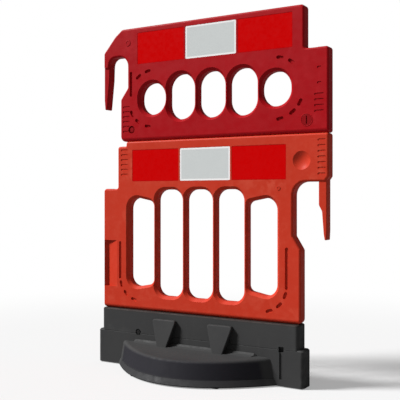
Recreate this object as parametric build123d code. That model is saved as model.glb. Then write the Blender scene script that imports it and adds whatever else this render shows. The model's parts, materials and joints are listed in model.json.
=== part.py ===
from build123d import *
import math
import os

# Interlocking safety barrier: a heavy moulded base with bowed feet, a slotted hollow panel bolted
# into it, and a hollow upper panel that drops over two spigots and is held by two half-turn locks.
# Millimetres. Origin on the ground under the middle of the base, +X to the right along the panels,
# the front faces -Y, +Z up. The panels' details are the same on the front and on the rear face.

# ---- driving dimensions -------------------------------------------------------------------------
panel_thickness = 52.0
panel_wall = 4.5
edge_round = 9.0            # rounding of the panels' outer edges
under_round = 18.0          # rounding of the panels' undersides
lower_bottom, lower_top = 251.0, 1005.0
upper_top = 1514.0
panel_half = 488.0          # half the length of the lower panel's body
outer_right = 607.0         # right end of the lower panel's top band and of the upper panel

slot_width, slot_pitch = 134.0, 150.0
slot_flare = 12.0           # how far each slot's rim is bevelled, along the face and in depth
lower_slot_centre, upper_slot_centre = 18.5, 80.0

sheet_width, sheet_height, sheet_thickness = 246.0, 140.0, 1.2
sheet_pitch = 254.0
sheet_recess = 1.8
lower_sheet_centre, upper_sheet_centre = (51.0, 896.0), (79.0, 1419.0)

finger_half = 20.5          # half the thickness of the hook fingers
channel_half = 22.0         # half the thickness of the sockets that take a neighbour's finger
relief_depth = 2.0          # shallow moulded marks on the panels' faces
pinch_depth, pinch_width = 6.0, 14.0   # deeper marks, where the panels' two walls are moulded together
pinch_taper = 12.0
grip_depth = 15.0           # finger grip at the lower panel's left end

base_half_thickness = 37.5
base_top = lower_bottom
step_height = 152.0
base_half, block_half = 486.0, 507.5
base_bottom = 4.0           # the base stands on pads that reach the ground
foot_half, foot_reach = 394.0, 230.0
foot_root = 36.0            # where the feet spring from the block, from the middle plane
shelf_root, shelf_edge = 112.0, 100.0
toe_top = 30.0

tongue_centre, tongue_width, tongue_half = 285.0, 150.0, 15.0
tongue_bottom = 120.0
bolt_height = 155.0
bolt_radius = 6.0

spigot_width, spigot_half = 70.0, 14.0
spigot_bottom, spigot_top = 947.0, 1082.0
lock_height = 1058.0
lock_right_x, lock_left_x = 516.0, -330.0
lock_radius = 10.0
ring_outer, ring_inner, ring_depth = 26.0, 22.2, 6.0
socket_gap = 0.4            # play round tongues and spigots

vent_radius = 6.0
lower_vent, upper_vent = (395.0, 791.0), (-350.0, 1449.0)

half = panel_thickness / 2
clip_y0, clip_y1 = half - 7.0, half - 5.0


# ---- helpers ------------------------------------------------------------------------------------
def standing_face(corners):
    """Face in the XZ plane from (x, z, corner radius) points."""
    points = [(x, z) for x, z, _ in corners]
    radii = [r for _, _, r in corners]
    return Plane.XZ * make_face(FilletPolyline(*points, radius=radii, close=True))


def plate(face, half_depth):
    """Solid of a standing face, the same amount to the front and to the rear."""
    return extrude(face, amount=half_depth, both=True)


def block(x0, x1, y0, y1, z0, z1):
    """Axis-aligned box from its limits."""
    return Pos((x0 + x1) / 2, (y0 + y1) / 2, (z0 + z1) / 2) * Box(x1 - x0, y1 - y0, z1 - z0)


def cross_cylinder(x, z, radius, y0, y1):
    """Cylinder along Y."""
    return Pos(x, (y0 + y1) / 2, z) * Rot(90, 0, 0) * Cylinder(radius, abs(y1 - y0))


def both_faces(shape):
    """A cutter for the front face together with its mirror image for the rear face."""
    return [shape, mirror(shape, about=Plane.XZ)]


def rim_edges(solid):
    """Edges that lie in the front face and in the rear face."""
    groups = solid.edges().group_by(Axis.Y)
    return groups[0] + groups[-1]


# ---- slots --------------------------------------------------------------------------------------
def slot_corners(centre, z0, z1, radius, slant=0.0, inner_side=0):
    """Rounded rectangle; an outer slot's inner ends are cut back by the slant."""
    x0, x1 = centre - slot_width / 2, centre + slot_width / 2
    left = slant if inner_side < 0 else 0.0
    right = slant if inner_side > 0 else 0.0
    r_left = radius * (0.55 if left else 1.0)
    r_right = radius * (0.55 if right else 1.0)
    return [(x0, z0 + left, r_left), (x1, z0 + right, r_right),
            (x1, z1 - right, r_right), (x0, z1 - left, r_left)]


def slot_faces(centre, middle, outer, middle_radius, outer_radius, slant):
    """Faces of the five slots, from left to right."""
    faces = []
    for index in range(-2, 3):
        x = centre + index * slot_pitch
        if abs(index) == 2:
            corners = slot_corners(x, *outer, outer_radius, slant, -index // 2)
        else:
            corners = slot_corners(x, *middle, middle_radius)
        faces.append(standing_face(corners))
    return faces


def slot_cutters(faces):
    """Through cuts whose rims are bevelled on both faces."""
    cutters = []
    for face in faces:
        rim = Pos(0, -half, 0) * offset(face, amount=slot_flare)
        flare = extrude(rim, amount=-slot_flare, taper=45)
        cutters += [plate(face, half + 1), *both_faces(flare)]
    return cutters


# ---- moulded marks on the faces -----------------------------------------------------------------
def mark_outline(x, z, width, height, angle=0.0):
    """Round-ended outline in the middle plane."""
    radius = min(width, height) / 2 - 0.05
    return Plane.XZ * Pos(x, z) * Rot(0, 0, angle) * RectangleRounded(width, height, radius)


def ladder(x0, x1, z_first, count, pitch=22.0, height=9.0):
    """Column of short, shallow, horizontal marks in the front face."""
    outlines = [mark_outline((x0 + x1) / 2, z_first + i * pitch, x1 - x0, height) for i in range(count)]
    return [extrude(Pos(0, -half, 0) * outline, amount=-relief_depth) for outline in outlines]


def pinch_arc(x, z, side, angles, radius, length=32.0):
    """Outlines of pinches along an arc; the angles are from the horizontal, out to the given side."""
    outlines = []
    for angle in angles:
        a = math.radians(angle)
        outlines.append(mark_outline(x + side * radius * math.cos(a), z + radius * math.sin(a),
                                     pinch_width, length, side * angle))
    return outlines


def pinch_cut(outline):
    """Narrowing pinch in the front face."""
    return extrude(Pos(0, -half, 0) * outline, amount=-pinch_depth, taper=pinch_taper)


def pinch_core(outline):
    """The plastic round a pinch, from wall to wall."""
    return plate(offset(outline, amount=panel_wall), half)


def grip_wedge(grow=0.0):
    """Finger grip: a steep side at the panel's end and a long ramp; grown, the plastic round it."""
    valley_x, ramp_x, z0, z1 = -470.0, -411.0, 349.0, 559.0
    x0, x1 = -panel_half + 3 - grow, ramp_x + grow
    profile = Polyline((x0, -half - 1), (x0, -half), (valley_x, -half + grip_depth + grow),
                       (x1, -half), (x1, -half - 1), close=True)
    return extrude(Pos(0, 0, z0 - grow) * make_face(profile), amount=z1 - z0 + 2 * grow)


def sheet_box(centre, index, thickness, clearance=0.0):
    """Sheet or its pocket, measured inwards from the front face."""
    x, z = centre[0] + index * sheet_pitch, centre[1]
    outline = Plane.XZ * Pos(x, z) * RectangleRounded(sheet_width + 2 * clearance,
                                                     sheet_height + 2 * clearance, 4 + clearance)
    return extrude(Pos(0, -half, 0) * outline, amount=-thickness)


def sheet_pockets(centre):
    return [sheet_box(centre, i, sheet_recess, 0.4) for i in (-1, 0, 1)]


# ---- hollow panels ------------------------------------------------------------------------------
def under_profile(bottom, inset=0.0):
    """Everything above a panel's rounded underside, or above the same surface inset by the wall."""
    y, low, high, radius = half - inset, bottom + inset, upper_top + 50, under_round - inset
    corners = FilletPolyline((-y, high), (-y, low), (y, low), (y, high), radius=[1, radius, radius, 1],
                             close=True)
    return extrude(Plane.YZ * make_face(corners), amount=outer_right + 50, both=True)


def hollow_panel(outline, slots, finger, keep_solid):
    """Rounded plate with a hook finger, bevelled slots and a hollow inside."""
    face = standing_face(outline)
    bottom = outline[0][1]
    shell = plate(face, half)
    shell = fillet(rim_edges(shell), edge_round) & under_profile(bottom)
    tail = plate(standing_face(finger), finger_half)
    shell += fillet(rim_edges(tail), 4.0)
    shell -= slot_cutters(slots)
    hollow = plate(offset(face, amount=-panel_wall), half - panel_wall)
    hollow &= under_profile(bottom, panel_wall)
    solid_rims = [plate(offset(s, amount=slot_flare + panel_wall), half) for s in slots]
    return shell - (hollow - solid_rims - keep_solid)


def lower_panel():
    """Slotted panel with a hook on its right, a hook socket on its left and two tongues below."""
    body_right, gap_left, gap_right, gap_top = 490.0, 456.0, 563.0, 816.0
    shoulder_x, shoulder_z, step_x, step_z = -362.0, 984.0, -408.0, 793.0
    outline = [(-panel_half, lower_bottom, 18), (body_right, lower_bottom, 22),
               (body_right, 546, 14), (gap_left, 600, 14), (gap_left, gap_top, 55),
               (gap_right + 30, gap_top, 11), (outer_right, 835, 11), (outer_right, lower_top, 11),
               (shoulder_x, lower_top, 11), (shoulder_x, shoulder_z, 3), (step_x, shoulder_z, 11),
               (step_x, step_z, 9), (-panel_half, step_z, 14)]
    finger = [(gap_right + 1, 850, 5), (gap_right + 1, 724, 20), (577, 700, 20), (584, 612, 20),
              (588, 588, 4), (596, 588, 4), (598, 625, 20), (598, 850, 5)]
    slots = slot_faces(lower_slot_centre, (320, 788), (345, 762), 48, 48, 26)

    socket = block(-456, -417, -channel_half, channel_half, 566, step_z + 7)
    dish_x, dish_z, dish_radius, dish_depth = 495.0, 900.0, 37.5, 11.0
    ball = (dish_radius ** 2 + dish_depth ** 2) / (2 * dish_depth)
    dish = Pos(dish_x, -half + dish_depth - ball, dish_z) * Sphere(ball)
    dish &= block(dish_x - 50, dish_x + 50, -60, 0, dish_z - 50, dish_z + 50)

    pinches = []
    for side in (-1, 1):
        pinches.append(mark_outline(lower_slot_centre + side * 412, 470, pinch_width, 170))
        pinches += pinch_arc(lower_slot_centre + side * 304, 400, side, (-20, -46, -73), 108)

    keep = [block(-461, step_x, -half, half, 561, step_z + 7)]
    keep += [block(x0 - 5, x1 + 5, -half, half, spigot_bottom - 6, lower_top)
             for x0, x1 in (spigot_span(x, side) for x, side in spigot_places())]
    keep += both_faces(cross_cylinder(dish_x, dish_z, dish_radius + 5, -half, -8))
    keep += both_faces(grip_wedge(panel_wall)) + [pinch_core(p) for p in pinches]
    panel = hollow_panel(outline, slots, finger, keep)

    bolt_holes = [cross_cylinder(s * tongue_centre, bolt_height, 10, -20, 20) for s in (-1, 1)]
    panel += [block(s * tongue_centre - tongue_width / 2, s * tongue_centre + tongue_width / 2,
                    -tongue_half, tongue_half, tongue_bottom, lower_bottom + 3) for s in (-1, 1)]
    face_cuts = [grip_wedge(), dish] + ladder(562, 596, 846, 7) + ladder(-389, -350, 856, 6)
    face_cuts += [pinch_cut(p) for p in pinches] + sheet_pockets(lower_sheet_centre)
    for cut in face_cuts:
        panel -= both_faces(cut)
    vent = cross_cylinder(*lower_vent, vent_radius, -half - 1, -half + 8)
    spigot_sockets = [spigot_block(x, side, socket_gap) for x, side in spigot_places()]
    return panel - [socket, vent] - spigot_sockets - bolt_holes


def upper_panel():
    """Upper panel with a hook on its left, a hook socket on its right and sockets below."""
    gap_left, gap_right, gap_top, body_left = -458.0, -353.0, 1391.0, -392.0
    step_x, step_z, stub_z = 505.0, 1340.0, 1342.0
    outline = [(body_left, lower_top, 26), (outer_right, lower_top, 11),
               (outer_right, step_z, 12), (step_x, step_z, 9), (step_x, upper_top, 14),
               (-385, upper_top, 22), (-425, 1484, 30), (-panel_half, 1414, 14),
               (-panel_half, stub_z, 11), (gap_left, stub_z, 11), (gap_left, gap_top, 36),
               (gap_right, gap_top, 46), (gap_right, 1247, 14), (body_left, 1196, 14)]
    finger = [(-488, 1400, 5), (-488, 1200, 20), (-484, 1156, 4.5), (-474, 1156, 4.5),
              (-470, 1190, 20), (-459, 1290, 20), (-455, 1400, 5)]
    slots = slot_faces(upper_slot_centre, (1092, 1290), (1120, 1262), 66, 66, 0)

    socket = block(526, 562, -channel_half, channel_half, 1140, step_z + 5)
    end_slot, end_z = 2 * slot_pitch, 1191.0
    pinches = [mark_outline(-333, 1262, pinch_width, 112)]
    for side in (-1, 1):
        pinches += pinch_arc(upper_slot_centre + side * end_slot, end_z, side,
                             (80, 55, -30, -52, -80), 124)

    bores = []
    keep = [block(521, 567, -half, half, 1135, step_z + 5)] + [pinch_core(p) for p in pinches]
    for x, side in spigot_places():
        x0, x1 = spigot_span(x, side)
        keep.append(block(x0 - 24, x1 + 24, -half, half, lower_top, spigot_top + 6))
        bores += lock_bores(x, side)
    panel = hollow_panel(outline, slots, finger, keep)

    face_cuts = ladder(548, 588, 1090, 4) + ladder(-378, -340, 1050, 6) + ladder(560, 578, 1200, 2, 60)
    face_cuts += [pinch_cut(p) for p in pinches] + sheet_pockets(upper_sheet_centre)
    for cut in face_cuts:
        panel -= both_faces(cut)
    vent = cross_cylinder(*upper_vent, vent_radius, -half - 1, -half + 8)
    spigot_sockets = [spigot_block(x, side, socket_gap) for x, side in spigot_places()]
    return panel - [socket, vent] - spigot_sockets - bores


# ---- spigots and half-turn locks ----------------------------------------------------------------
def spigot_places():
    """Lock axis and the side of it that the spigot stands on."""
    return [(lock_left_x, 1), (lock_right_x, -1)]


def spigot_span(x, side):
    return min(x, x + side * spigot_width), max(x, x + side * spigot_width)


def spigot_block(x, side, gap):
    """The spigot's outline, grown by the play for its sockets."""
    x0, x1 = spigot_span(x, side)
    return block(x0 - gap, x1 + gap, -spigot_half - gap, spigot_half + gap,
                 spigot_bottom - gap, spigot_top + gap)


def spigot(x, side):
    """Upright block with a lead-in at its top and a round notch for the lock."""
    body = spigot_block(x, side, 0)
    body = chamfer(body.faces().sort_by(Axis.Z)[-1].edges(), 5)
    body = fillet(body.edges().filter_by(Axis.Z), 2)
    return body - cross_cylinder(x, lock_height, lock_radius + 0.4, -20, 20)


def turned(shape, side):
    """The right-hand lock faces the front; the left-hand one is turned to face the rear."""
    return shape if side < 0 else Rot(0, 0, 180) * shape


def at_lock(shape, x, side):
    """Put a shape made round the origin on its lock axis."""
    return Pos(x, 0, lock_height) * turned(shape, side)


def lock_bores(x, side):
    """Bore, ring seat and clip recess for one lock."""
    cuts = [cross_cylinder(0, 0, lock_radius + 0.08, -half - 1, half + 1),
            cross_cylinder(0, 0, ring_outer, -half - 1, -half + ring_depth),
            cross_cylinder(0, 0, 17, half - 8, half + 1)]
    return [at_lock(cut, x, side) for cut in cuts]


def lock_ring(x, side):
    """Ring round the lock's head, standing 1 mm proud of the face."""
    ring = cross_cylinder(0, 0, ring_outer, -half - 1, -half + ring_depth)
    ring -= cross_cylinder(0, 0, ring_inner, -half - 2, -half + ring_depth + 1)
    return at_lock(fillet(ring.edges().group_by(Axis.Y)[0], 0.8), x, side)


def lock(x, side):
    """Slotted head and a shaft that is half cut away where it passes the spigot."""
    head = cross_cylinder(0, 0, ring_inner - 0.3, -half - 0.5, -half + ring_depth)
    head = fillet(head.edges().group_by(Axis.Y)[0], 1.2)
    head -= block(-2.5, 2.5, -half - 2, -half + 2.5, -16, 16)
    shaft = cross_cylinder(0, 0, lock_radius, -half + ring_depth, half - 3)
    shaft -= block(-12, 0.4, -spigot_half - 0.8, spigot_half + 0.8, -12, 12)
    groove = cross_cylinder(0, 0, 12, clip_y0, clip_y1) - cross_cylinder(0, 0, 8, clip_y0, clip_y1)
    return at_lock(head + shaft - groove, x, side)


def lock_clip(x, side):
    """Open retaining ring in the shaft's groove."""
    clip = cross_cylinder(0, 0, 13.5, clip_y0, clip_y1) - cross_cylinder(0, 0, 8, clip_y0 - 1, clip_y1 + 1)
    return at_lock(clip - block(-4, 4, clip_y0 - 1, clip_y1 + 1, -15, 0), x, side)


# ---- vent plugs ---------------------------------------------------------------------------------
def vent_plug(place, head_radius):
    """Push-in plug with a shallow dished head."""
    x, z = place
    head = cross_cylinder(x, z, head_radius, -half - 1.6, -half)
    head = fillet(head.edges().group_by(Axis.Y)[0], 1.0)
    dish = cross_cylinder(x, z, head_radius * 0.6, -half - 2, -half - 0.8)
    return head + cross_cylinder(x, z, vent_radius - 0.05, -half, -half + 9) - dish


# ---- base ---------------------------------------------------------------------------------------
def foot_plan(inset_x, inset_y, z):
    """Bow-shaped plan of the front foot at one height: a parabola closed inside the block."""
    a, reach = foot_half - inset_x, foot_reach - inset_y
    bow = Bezier((-a, -foot_root), (0, -foot_root - 2 * reach), (a, -foot_root))
    back = Polyline((a, -foot_root), (a, -20), (-a, -20), (-a, -foot_root))
    return Pos(0, 0, z) * make_face(bow.edges() + back.edges())


def foot():
    """Front foot: a bevelled toe, a leaning apron, a gently falling shelf and a cove at the block."""
    lip_inset_x, lip_inset_y, apron_step = 10.0, 16.0, 3.0
    toe = loft([foot_plan(4, 5, base_bottom), foot_plan(0, 0, base_bottom + 5)], ruled=True)
    toe += loft([foot_plan(0, 0, base_bottom + 5), foot_plan(lip_inset_x, lip_inset_y, toe_top)],
                ruled=True)
    apron_x, apron_y, high = lip_inset_x + apron_step, lip_inset_y + apron_step, 150.0
    rise_x, rise_y = 0.18 * (high - toe_top), 0.27 * (high - toe_top)
    apron = loft([foot_plan(apron_x, apron_y, toe_top - 1),
                  foot_plan(apron_x + rise_x, apron_y + rise_y, high)], ruled=True)
    slope = math.degrees(math.atan2(shelf_root - shelf_edge, foot_reach - 38))
    above = Pos(0, -foot_root, shelf_root) * Rot(slope, 0, 0) * Pos(0, -200, 100) * Box(1000, 600, 200)
    apron -= above
    rim = [e for e in apron.edges() if e.bounding_box().size.X > 600
           and e.bounding_box().size.Y > 100 and e.bounding_box().max.Z > 80]
    cove_profile = Plane.YZ * make_face(Polyline((-30, 90), (-30, 131), (-base_half_thickness, 131),
                                                 (-48, 116), (-72, 106), (-72, 90), close=True))
    cove = plate_along_x(cove_profile) & extrude(foot_plan(64, 40, 85), amount=60, taper=30)
    return toe + fillet(rim, 14) + cove


def plate_along_x(profile):
    """Solid of a profile in the YZ plane, as long as the feet."""
    return extrude(profile, amount=foot_half, both=True)


def lug(x):
    """Buttress on the front face, narrowing and leaning out towards its rounded foot."""
    top_half, bottom_half, top_z, bottom_z = 62.0, 22.0, 223.0, 98.0
    face = standing_face([(x - bottom_half, bottom_z, 14), (x + bottom_half, bottom_z, 14),
                          (x + top_half, top_z, 10), (x - top_half, top_z, 10)])
    body = extrude(Pos(0, -30, 0) * face, amount=60)
    lean = math.degrees(math.atan2(22, top_z - bottom_z))
    body -= Pos(x, -54, top_z) * Rot(-lean, 0, 0) * Pos(0, -50, 0) * Box(300, 100, 600)
    front = max(body.faces(), key=lambda f: -f.center().Y)
    return fillet(front.edges(), 5)


def base_block():
    """Base moulding with its feet, buttresses, tongue pockets and hollow underside."""
    wall = block(-base_half, base_half, -base_half_thickness, base_half_thickness,
                 step_height - 2, base_top)
    wall = fillet(wall.edges().filter_by(Axis.Z), 15)
    wall = fillet(wall.faces().sort_by(Axis.Z)[-1].edges(), 7)
    ends = block(-block_half, block_half, -base_half_thickness, base_half_thickness,
                 base_bottom, step_height)
    ends = fillet(ends.edges().filter_by(Axis.Z), 15)
    ends = chamfer(ends.faces().sort_by(Axis.Z)[-1].edges(), 5)
    body = wall + ends
    front = [foot(), lug(-138), lug(138)]
    body += front + [mirror(f, about=Plane.XZ) for f in front]

    cuts = []
    for s in (-1, 1):
        cuts.append(block(s * tongue_centre - tongue_width / 2 - socket_gap,
                          s * tongue_centre + tongue_width / 2 + socket_gap,
                          -tongue_half - socket_gap, tongue_half + socket_gap,
                          tongue_bottom - 4, base_top + 10))
        cuts += bolt_bores(s)
        groove = block(-8, 8, -base_half_thickness - 1, -base_half_thickness + 5, 30, step_height)
        groove += block(-11, 11, -base_half_thickness - 1, -base_half_thickness + 14,
                        step_height - 14, step_height + 8)
        cuts.append(Rot(0, 0, 0 if s > 0 else 180) * Pos(412, 0, 0) * groove)
    cuts += underside_cuts()
    return body - cuts


def underside_cuts():
    """Ribbed hollows under the feet and under the middle of the block, and the pad recesses."""
    rib_half, hollow_top = 6.0, 82.0
    hollow = loft([foot_plan(42, 40, 0), foot_plan(62, 66, hollow_top)], ruled=True)
    hollow -= block(-500, 500, -foot_root - 6, 0, -1, 200)
    for x in (-240, -120, 0, 120, 240):
        hollow -= block(x - rib_half, x + rib_half, -400, 0, -1, 200)
    cuts = [hollow, mirror(hollow, about=Plane.XZ)]
    for s in (-1, 1):
        cuts.append(block(min(s * 80, s * 196), max(s * 80, s * 196), -22, 22, 0, 228))
    return cuts + [pad(*place, 0.2, 12) for place in pad_places()]


def pad_places():
    """Centre and size of each anti-slip pad."""
    places = [(0, 0, 130, 50), (-458, 0, 80, 50), (458, 0, 80, 50)]
    return places + [(x, y, 60, 22) for x in (-180, 180) for y in (-184, 184)]


def pad(x, y, length, width, gap=0.0, top=11.8):
    """Rectangular pad that reaches the ground."""
    return Pos(x, y, top / 2) * Box(length + 2 * gap, width + 2 * gap, top)


def bolt_bores(side):
    """Recess and clearance hole for the left bolt at the front and the right bolt at the rear."""
    y = -base_half_thickness
    cuts = [cross_cylinder(-tongue_centre, bolt_height, 14, y - 1, y + 11),
            cross_cylinder(-tongue_centre, bolt_height, bolt_radius + 0.5, y, -tongue_half + 1)]
    return [Rot(0, 0, 0 if side < 0 else 180) * cut for cut in cuts]


def at_bolt(shape, side):
    return Rot(0, 0, 0 if side < 0 else 180) * Pos(-tongue_centre, 0, bolt_height) * shape


def fixing_bolt(side):
    """Hexagon-head bolt from the bottom of its recess into the insert."""
    seat = -base_half_thickness + 11 - 2.5
    head = Plane.XZ * RegularPolygon(10.4, 6)
    head = extrude(Pos(0, seat, 0) * head, amount=7.5)
    return at_bolt(head + cross_cylinder(0, 0, bolt_radius, seat, 12), side)


def fixing_washer(side):
    seat = -base_half_thickness + 11
    ring = cross_cylinder(0, 0, 12, seat - 2.5, seat)
    return at_bolt(ring - cross_cylinder(0, 0, 6.5, seat - 3, seat + 1), side)


def tongue_insert(side):
    """Threaded sleeve pressed into the panel's tongue."""
    sleeve = cross_cylinder(0, 0, 10, -tongue_half, tongue_half)
    return at_bolt(sleeve - cross_cylinder(0, 0, bolt_radius, -tongue_half - 1, tongue_half + 1), side)


# ---- export -------------------------------------------------------------------------------------
def reflective_sheet(centre, index, rear):
    """One sheet, lying at the bottom of its pocket."""
    sheet = sheet_box(centre, index, sheet_recess) - sheet_box(centre, index, sheet_recess - sheet_thickness)
    return mirror(sheet, about=Plane.XZ) if rear else sheet


def main():
    nodes = {
        "base_block": base_block(),
        "anti_slip_pads": Compound([pad(*place) for place in pad_places()]),
        "fixing_bolts": Compound([fixing_bolt(s) for s in (-1, 1)]),
        "fixing_washers": Compound([fixing_washer(s) for s in (-1, 1)]),
        "tongue_inserts": Compound([tongue_insert(s) for s in (-1, 1)]),
        "lower_panel": lower_panel(),
        "lower_vent_plug": vent_plug(lower_vent, 8.5),
        "upper_panel": upper_panel(),
        "upper_vent_plug": vent_plug(upper_vent, 14.0),
    }
    names = {-1: "left", 1: "right"}
    for x, side in spigot_places():
        hand = names[-side]
        nodes[f"spigot_{hand}"] = spigot(x, side)
        nodes[f"lock_{hand}"] = lock(x, side)
        nodes[f"lock_clip_{hand}"] = lock_clip(x, side)
        nodes[f"lock_ring_{hand}"] = lock_ring(x, side)
    places = {-1: "red_left", 0: "white", 1: "red_right"}
    for level, centre in (("lower", lower_sheet_centre), ("upper", upper_sheet_centre)):
        for index, place in places.items():
            for face, rear in (("front", False), ("rear", True)):
                nodes[f"{level}_sheet_{place}_{face}"] = reflective_sheet(centre, index, rear)
    os.makedirs("parts", exist_ok=True)
    for name, shape in nodes.items():
        export_step(shape, f"parts/{name}.step")


main()
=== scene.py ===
import json
import math

import bpy
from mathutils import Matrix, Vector


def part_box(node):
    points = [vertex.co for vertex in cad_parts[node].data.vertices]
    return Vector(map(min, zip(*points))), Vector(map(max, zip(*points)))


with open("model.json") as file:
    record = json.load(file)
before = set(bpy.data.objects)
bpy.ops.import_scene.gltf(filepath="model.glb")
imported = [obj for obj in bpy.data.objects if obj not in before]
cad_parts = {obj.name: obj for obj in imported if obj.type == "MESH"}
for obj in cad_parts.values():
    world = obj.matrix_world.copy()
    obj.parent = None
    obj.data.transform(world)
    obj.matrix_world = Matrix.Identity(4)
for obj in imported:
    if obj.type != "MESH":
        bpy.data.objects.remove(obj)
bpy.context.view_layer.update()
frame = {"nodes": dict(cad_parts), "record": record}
nodes = frame["nodes"]

# Units are metres. The front faces -Y, +X is to the right, +Z up, the origin is on the ground.

scene = bpy.context.scene
scene.view_settings.view_transform = "Standard"
scene.view_settings.look = "None"
scene.view_settings.exposure = 0.0

# ---- camera -------------------------------------------------------------------------------------
CAMERA_PLACE = (1.677, -2.757, 0.756)
CAMERA_AZIMUTH = 31.1            # degrees, from straight in front towards +X
SENSOR = 36.0
LENS = 67.6
SHIFT_UP = -0.0078


def make_camera():
    """Level camera, so that uprights stay parallel."""
    data = bpy.data.cameras.new("camera")
    data.sensor_width = SENSOR
    data.lens = LENS
    data.shift_y = SHIFT_UP
    data.clip_start, data.clip_end = 0.05, 60.0
    camera = bpy.data.objects.new("camera", data)
    camera.location = CAMERA_PLACE
    camera.rotation_euler = (math.radians(90), 0, math.radians(CAMERA_AZIMUTH))
    scene.collection.objects.link(camera)
    scene.camera = camera


make_camera()


# ---- node helpers -------------------------------------------------------------------------------
def linear(r, g, b):
    """Linear colour from 0 to 255 display values."""
    def channel(value):
        value /= 255.0
        return value / 12.92 if value <= 0.04045 else ((value + 0.055) / 1.055) ** 2.4
    return channel(r), channel(g), channel(b), 1.0


class Graph:
    """Small wrapper that adds nodes and links to one material."""

    def __init__(self, name):
        self.material = bpy.data.materials.new(name)
        self.material.use_nodes = True
        self.tree = self.material.node_tree
        self.shader = self.tree.nodes["Principled BSDF"]
        coordinates = self.tree.nodes.new("ShaderNodeTexCoord")
        self.place = coordinates.outputs["Object"]

    def link(self, source, target):
        self.tree.links.new(source, target)

    def put(self, socket, value):
        """Link an output, or set a plain value."""
        if isinstance(value, bpy.types.NodeSocket):
            self.link(value, socket)
        else:
            socket.default_value = value

    def add(self, kind, **settings):
        node = self.tree.nodes.new(kind)
        for key, value in settings.items():
            setattr(node, key, value)
        return node

    def scaled(self, scale):
        node = self.add("ShaderNodeMapping")
        node.inputs["Scale"].default_value = scale
        self.link(self.place, node.inputs["Vector"])
        return node.outputs["Vector"]

    def noise(self, scale, detail=3.0, roughness=0.55, vector=None):
        node = self.add("ShaderNodeTexNoise")
        node.inputs["Scale"].default_value = scale
        node.inputs["Detail"].default_value = detail
        node.inputs["Roughness"].default_value = roughness
        self.link(vector or self.place, node.inputs["Vector"])
        return node.outputs["Fac"]

    def cells(self, scale, randomness=1.0):
        node = self.add("ShaderNodeTexVoronoi", feature="F1")
        node.inputs["Scale"].default_value = scale
        node.inputs["Randomness"].default_value = randomness
        self.link(self.place, node.inputs["Vector"])
        return node.outputs["Distance"]

    def math(self, operation, a, b=0.0):
        node = self.add("ShaderNodeMath", operation=operation)
        self.put(node.inputs[0], a)
        self.put(node.inputs[1], b)
        return node.outputs[0]

    def remap(self, value, low, high, to_low=0.0, to_high=1.0):
        node = self.add("ShaderNodeMapRange", clamp=True, interpolation_type="SMOOTHSTEP")
        self.put(node.inputs["Value"], value)
        for name, number in (("From Min", low), ("From Max", high),
                             ("To Min", to_low), ("To Max", to_high)):
            node.inputs[name].default_value = number
        return node.outputs["Result"]

    def mix(self, factor, a, b):
        node = self.add("ShaderNodeMix", data_type="RGBA")
        self.put(node.inputs[0], factor)
        self.put(node.inputs[6], a)
        self.put(node.inputs[7], b)
        return node.outputs[2]

    def axis(self, name):
        node = self.add("ShaderNodeSeparateXYZ")
        self.link(self.place, node.inputs[0])
        return node.outputs[name]

    def bump(self, height, strength, distance, previous=None):
        node = self.add("ShaderNodeBump")
        node.inputs["Strength"].default_value = strength
        node.inputs["Distance"].default_value = distance
        self.link(height, node.inputs["Height"])
        if previous is not None:
            self.link(previous, node.inputs["Normal"])
        return node.outputs["Normal"]

    def finish(self, colour, roughness, normal, **fixed):
        self.put(self.shader.inputs["Base Color"], colour)
        self.put(self.shader.inputs["Roughness"], roughness)
        self.link(normal, self.shader.inputs["Normal"])
        for name, value in fixed.items():
            self.shader.inputs[name.replace("_", " ")].default_value = value
        return self.material


# ---- materials ----------------------------------------------------------------------------------
def edge_wear(g, strength):
    """Paler, rubbed stretches where the surface is most convex."""
    geometry = g.add("ShaderNodeNewGeometry")
    edge = g.remap(geometry.outputs["Pointiness"], 0.52, 0.60)
    patchy = g.remap(g.noise(24.0, 4.0), 0.45, 0.65)
    return g.math("MULTIPLY", g.math("MULTIPLY", edge, patchy), strength)


def moulded_plastic(name, base, pale, dark, specular=0.10):
    """Hollow-moulded polyethylene: fine grain, soft cloudy tone, light scuffs and rubbed edges."""
    g = Graph(name)
    cloud = g.noise(3.2, 2.0)
    colour = g.mix(g.remap(cloud, 0.35, 0.7, 0.0, 0.30), base, dark)
    mottle = g.noise(46.0, 3.0)
    colour = g.mix(g.remap(mottle, 0.45, 0.8, 0.0, 0.10), colour, pale)
    streak = g.noise(9.0, 5.0, 0.7, g.scaled((1.0, 1.0, 9.0)))
    scuff = g.remap(streak, 0.60, 0.74, 0.0, 0.16)
    colour = g.mix(scuff, colour, pale)
    colour = g.mix(edge_wear(g, 0.35), colour, pale)
    grain = g.noise(900.0, 2.0)
    waviness = g.noise(14.0, 1.0)
    normal = g.bump(waviness, 0.25, 0.0015)
    normal = g.bump(grain, 0.30, 0.0003, normal)
    roughness = g.remap(g.noise(30.0, 3.0), 0.3, 0.7, 0.42, 0.56)
    return g.finish(colour, roughness, normal, Specular_IOR_Level=specular)


BASE_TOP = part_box("base_block")[1].z
# FEET_START, SHELF_EDGE and LIP_TOP bound the painted shade on the apron below the shelf
FEET_START = (0.060, 0.080)      # from the middle plane, where the feet leave the block
SHELF_EDGE = (0.106, 0.090)      # height where the shelf turns down into the apron
LIP_TOP = (0.024, 0.036)         # height where the apron meets the lip
# heights where the painted contact shadow at the bottom of the lip begins and where it is full
LIP_SHADE_TOP = (0.036, 0.026)
# band at the top of the base, under the orange panel, that gets painted shade and a painted orange
# reflection
SEAM_SHADE = (BASE_TOP - 0.011, BASE_TOP - 0.001)


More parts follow.
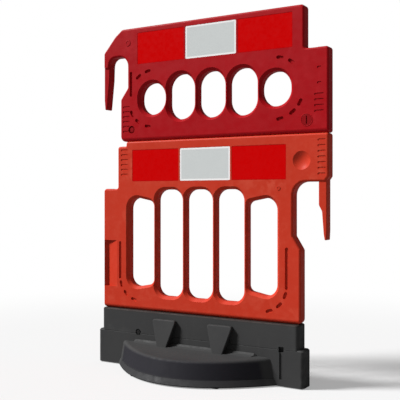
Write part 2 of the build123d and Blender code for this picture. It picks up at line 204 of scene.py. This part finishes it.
def recycled_compound(name):
    """Dark recycled compound with fine flecks and a pebbled skin; painted shade on the apron and the lip,
    and painted shade with a painted orange reflection at the seam.
    """
    g = Graph(name)
    face, light = linear(60, 60, 60), linear(82, 82, 81)
    colour = g.mix(g.remap(g.noise(5.0, 3.0), 0.35, 0.7, 0.0, 0.5), face, linear(52, 52, 53))
    flecks = g.remap(g.cells(420.0), 0.0, 0.22, 0.55, 0.0)
    chosen = g.remap(g.noise(160.0, 2.0), 0.55, 0.62)
    colour = g.mix(g.math("MULTIPLY", flecks, chosen), colour, light)
    streak = g.remap(g.noise(7.0, 5.0, 0.7, g.scaled((6.0, 6.0, 1.0))), 0.58, 0.75, 0.0, 0.18)
    colour = g.mix(streak, colour, light)
    colour = g.mix(edge_wear(g, 0.4), colour, light)
    # painted shade: the apron below the shelf edge is darkened in colour (33, 32, 38) for the shadow under
    # the overhanging shelf
    out = g.remap(g.math("ABSOLUTE", g.axis("Y")), *FEET_START)
    below_shelf = g.remap(g.axis("Z"), *SHELF_EDGE)
    above_lip = g.remap(g.axis("Z"), *LIP_TOP)
    apron = g.math("MULTIPLY", out, g.math("MULTIPLY", below_shelf, above_lip))
    colour = g.mix(g.math("MULTIPLY", apron, 0.9), colour, linear(33, 32, 38))
    # painted shadow: the bottom of the lip is darkened in colour (40, 40, 43) for the contact shadow on the
    # floor
    lip = g.math("MULTIPLY", out, g.remap(g.axis("Z"), *LIP_SHADE_TOP))
    colour = g.mix(g.math("MULTIPLY", lip, 0.6), colour, linear(40, 40, 43))
    # painted shade and painted reflection: a brownish dark band (44, 32, 28) under the orange panel stands
    # for its shadow and its orange bounce on the base
    seam_shade_and_reflection = g.remap(g.axis("Z"), *SEAM_SHADE)
    colour = g.mix(g.math("MULTIPLY", seam_shade_and_reflection, 0.7), colour, linear(44, 32, 28))
    pebble = g.noise(520.0, 3.0, 0.6)
    sag = g.noise(11.0, 2.0)
    normal = g.bump(sag, 0.30, 0.002)
    normal = g.bump(pebble, 0.45, 0.0005, normal)
    roughness = g.remap(g.noise(40.0, 3.0), 0.3, 0.7, 0.55, 0.75)
    return g.finish(colour, roughness, normal, Specular_IOR_Level=0.12)


def sealed_edge(g, x, z, boxes, width):
    """1 within a strip along the edges of the sheets with these boxes."""
    inside = None
    for low, high in boxes:
        from_x = g.math("MINIMUM", g.math("SUBTRACT", x, low.x), g.math("SUBTRACT", high.x, x))
        from_z = g.math("MINIMUM", g.math("SUBTRACT", z, low.z), g.math("SUBTRACT", high.z, z))
        depth = g.math("MINIMUM", from_x, from_z)
        inside = depth if inside is None else g.math("MAXIMUM", inside, depth)
    return g.remap(inside, width * 1.25, width * 0.75)


def reflective_film(name, base, seal, edge, boxes, edge_width=0.007):
    """Microprismatic film: a diamond lattice of seals over fine prisms, with a sealed edge."""
    g = Graph(name)
    x, z = g.axis("X"), g.axis("Z")
    lattice_pitch, prism_pitch = 0.0045, 0.0003
    across = g.math("MULTIPLY", x, 1.0 / lattice_pitch)
    lines = []
    for slope in (1.0, -1.0):
        along = g.math("ADD", across, g.math("MULTIPLY", z, slope / lattice_pitch))
        wave = g.math("ABSOLUTE", g.math("SUBTRACT", g.math("FRACT", along), 0.5))
        lines.append(g.remap(wave, 0.44, 0.49))
    net = g.math("MAXIMUM", *lines)
    prisms = g.cells(1.0 / prism_pitch, randomness=0.2)
    cloud = g.remap(g.noise(18.0, 3.0), 0.35, 0.7, 0.0, 0.08)
    colour = g.mix(g.math("MULTIPLY", net, 0.35), base, seal)
    colour = g.mix(cloud, colour, seal)
    colour = g.mix(sealed_edge(g, x, z, boxes, edge_width), colour, edge)
    normal = g.bump(prisms, 0.10, 0.0001)
    normal = g.bump(net, 0.25, 0.0002, normal)
    roughness = g.remap(g.noise(60.0, 3.0), 0.3, 0.7, 0.24, 0.36)
    return g.finish(colour, roughness, normal,
                    Coat_Weight=0.04, Coat_Roughness=0.2, Specular_IOR_Level=0.05)


def metal(name, tint, worn, roughness=(0.28, 0.5)):
    """Plated or machined metal with fine turning lines."""
    g = Graph(name)
    colour = g.mix(g.remap(g.noise(220.0, 4.0), 0.4, 0.7), tint, worn)
    rings = g.noise(1500.0, 2.0, vector=g.scaled((1.0, 0.05, 1.0)))
    return g.finish(colour, g.remap(g.noise(300.0, 3.0), 0.3, 0.7, *roughness),
                    g.bump(rings, 0.2, 0.0001), Metallic=1.0)


def soft_rubber(name, base, pale, roughness=(0.7, 0.85)):
    """Matt rubber or filled nylon with a powdery bloom."""
    g = Graph(name)
    colour = g.mix(g.remap(g.noise(60.0, 4.0), 0.4, 0.75, 0.0, 0.5), base, pale)
    grain = g.noise(1400.0, 2.0)
    return g.finish(colour, g.remap(g.noise(90.0, 3.0), 0.3, 0.7, *roughness),
                    g.bump(grain, 0.3, 0.0002), Specular_IOR_Level=0.3)


def sheet_boxes(colour):
    """Boxes of the front sheets of one colour."""
    return [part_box(name) for name in sorted(nodes) if "sheet_" + colour in name and name.endswith("front")]


MATERIALS = {
    "orange_plastic": moulded_plastic("orange_plastic", linear(192, 54, 34),
                                      linear(214, 96, 74), linear(178, 44, 20)),
    "red_plastic": moulded_plastic("red_plastic", linear(163, 10, 20),
                                   linear(182, 32, 40), linear(148, 2, 10)),
    "lock_plastic": moulded_plastic("lock_plastic", linear(138, 4, 12),
                                    linear(160, 28, 34), linear(118, 2, 8)),
    "base_compound": recycled_compound("base_compound"),
    "red_sheeting": reflective_film("red_sheeting", linear(198, 0, 1), linear(206, 12, 12),
                                    linear(184, 2, 6), sheet_boxes("red"), 0.003),
    "white_sheeting": reflective_film("white_sheeting", linear(203, 207, 206), linear(184, 188, 190),
                                      linear(240, 238, 238), sheet_boxes("white")),
    "zinc_steel": metal("zinc_steel", linear(70, 70, 70), linear(44, 44, 44)),
    "insert_brass": metal("insert_brass", linear(214, 178, 98), linear(168, 132, 66)),
    "pad_rubber": soft_rubber("pad_rubber", linear(30, 30, 30), linear(52, 52, 52)),
    "spigot_plastic": soft_rubber("spigot_plastic", linear(38, 38, 40), linear(60, 60, 62), (0.45, 0.6)),
}


def dress_cad_nodes():
    """Give every CAD node the material of its slot."""
    for part in frame["record"]["subparts"]:
        mesh = nodes[part["node"]].data
        mesh.materials.clear()
        mesh.materials.append(MATERIALS[part["material_slot"]])


dress_cad_nodes()


# ---- floor, background and light ----------------------------------------------------------------
FLOOR_FADE = (1.3, 3.2)          # from the object, where the floor turns into the white background
FLOOR_PAINT, FLOOR_GLOW = 0.46, 0.31   # what the camera sees of the floor
FLOOR_SIZE = 60.0
BOUNCE_PAINT = 0.28              # how pale the floor is to light that it throws back


def make_floor():
    """Pale floor that fades into the white background with distance."""
    bpy.ops.mesh.primitive_plane_add(size=FLOOR_SIZE, location=(0, 0, 0))
    floor = bpy.context.object
    floor.name = "floor"
    g = Graph("floor_paper")
    seen = g.add("ShaderNodeLightPath").outputs["Is Camera Ray"]
    distance = g.add("ShaderNodeVectorMath", operation="LENGTH")
    g.link(g.place, distance.inputs[0])
    fade = g.remap(distance.outputs["Value"], *FLOOR_FADE)
    paint = g.mix(seen, (BOUNCE_PAINT,) * 3 + (1,), (FLOOR_PAINT,) * 3 + (1,))
    grain = g.bump(g.noise(300.0, 2.0), 0.05, 0.0002)
    g.finish(paint, 0.9, grain, Specular_IOR_Level=0.0)
    glow = g.add("ShaderNodeEmission")
    g.put(glow.inputs["Strength"], g.math("MULTIPLY", seen, FLOOR_GLOW))
    white = g.add("ShaderNodeEmission")
    g.put(white.inputs["Strength"], seen)
    lit = g.add("ShaderNodeAddShader")
    g.link(g.shader.outputs[0], lit.inputs[0])
    g.link(glow.outputs[0], lit.inputs[1])
    blend = g.add("ShaderNodeMixShader")
    g.link(g.math("MULTIPLY", fade, seen), blend.inputs[0])
    g.link(lit.outputs[0], blend.inputs[1])
    g.link(white.outputs[0], blend.inputs[2])
    g.link(blend.outputs[0], g.tree.nodes["Material Output"].inputs["Surface"])
    floor.data.materials.append(g.material)


AMBIENT = 0.17                   # strength of the white surroundings as a light
KEY_AZIMUTH, KEY_ELEVATION = -57.0, 42.0
KEY_STRENGTH, KEY_SPREAD = 5.5, 14.0


def make_world():
    """White to the camera and faint as a light."""
    world = bpy.data.worlds.new("studio")
    scene.world = world
    world.use_nodes = True
    tree = world.node_tree
    background = tree.nodes["Background"]
    background.inputs["Color"].default_value = (1, 1, 1, 1)
    path = tree.nodes.new("ShaderNodeLightPath")
    strength = tree.nodes.new("ShaderNodeMapRange")
    strength.inputs["To Min"].default_value = AMBIENT
    strength.inputs["To Max"].default_value = 1.0
    tree.links.new(path.outputs["Is Camera Ray"], strength.inputs["Value"])
    tree.links.new(strength.outputs["Result"], background.inputs["Strength"])


def sun_light(name, azimuth, elevation, strength, angle):
    """Sun whose light comes from an azimuth (from the front, towards +X) and an elevation."""
    data = bpy.data.lights.new(name, "SUN")
    data.energy = strength
    data.angle = math.radians(angle)
    light = bpy.data.objects.new(name, data)
    a, e = math.radians(azimuth), math.radians(elevation)
    towards = Vector((math.sin(a) * math.cos(e), -math.cos(a) * math.cos(e), math.sin(e)))
    light.rotation_euler = towards.to_track_quat("Z", "Y").to_euler()
    scene.collection.objects.link(light)


make_floor()
make_world()
sun_light("key", KEY_AZIMUTH, KEY_ELEVATION, KEY_STRENGTH, KEY_SPREAD)
